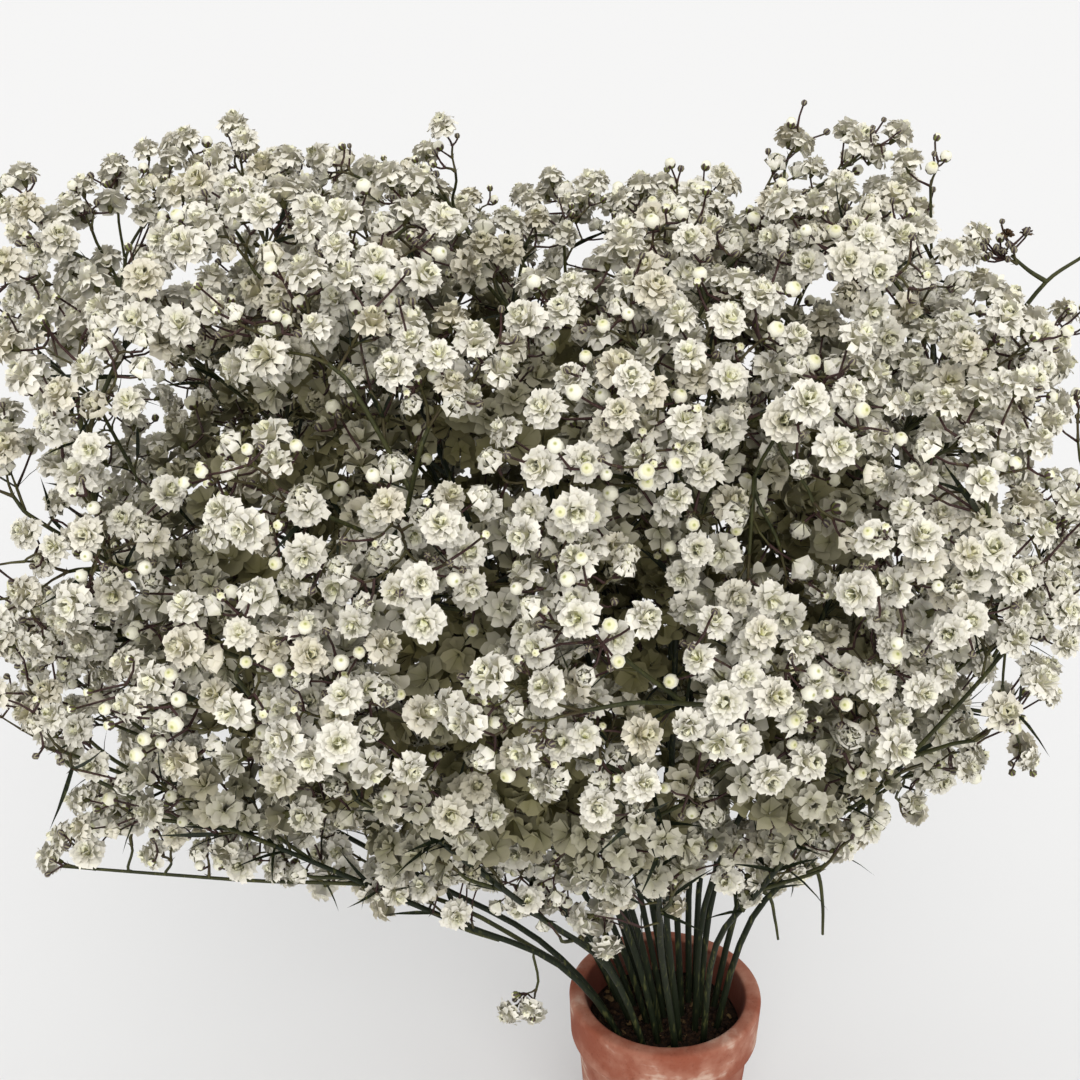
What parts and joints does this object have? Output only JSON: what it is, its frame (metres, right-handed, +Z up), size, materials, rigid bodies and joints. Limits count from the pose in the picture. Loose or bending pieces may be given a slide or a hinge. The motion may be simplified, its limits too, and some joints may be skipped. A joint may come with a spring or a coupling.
{
  "type": "potted gypsophila",
  "caption": "Double white gypsophila in a small clay pot: thin branching stems spread from the pot's mouth into a wide, airy cloud of blooms and buds.",
  "frame": {"origin": "the centre of the pot's foot, on the surface that the pot stands on", "axes": "+Z is up, along the pot's axis; -Y is the side that faces the viewer; the cloud leans towards -X"},
  "size_m": [0.3232, 0.2613, 0.354],
  "materials": {
    "clay": "matte, unglazed, with pale mineral bloom",
    "compost": "crumbly, dark brown",
    "plant": "soft white petals on dark green stems"
  },
  "bodies": {
    "root": {"pot": "clay", "compost": "compost", "spray_01": "plant", "spray_02": "plant", "spray_03": "plant", "spray_04": "plant", "spray_05": "plant", "spray_06": "plant", "spray_07": "plant", "spray_08": "plant", "spray_09": "plant", "spray_10": "plant", "spray_11": "plant", "spray_12": "plant", "spray_13": "plant", "spray_14": "plant", "spray_15": "plant", "spray_16": "plant", "spray_17": "plant", "spray_18": "plant", "spray_19": "plant", "spray_20": "plant", "spray_21": "plant", "spray_22": "plant", "spray_23": "plant", "spray_24": "plant", "spray_25": "plant", "spray_26": "plant", "spray_27": "plant", "spray_28": "plant"}
  },
  "joints": []
}
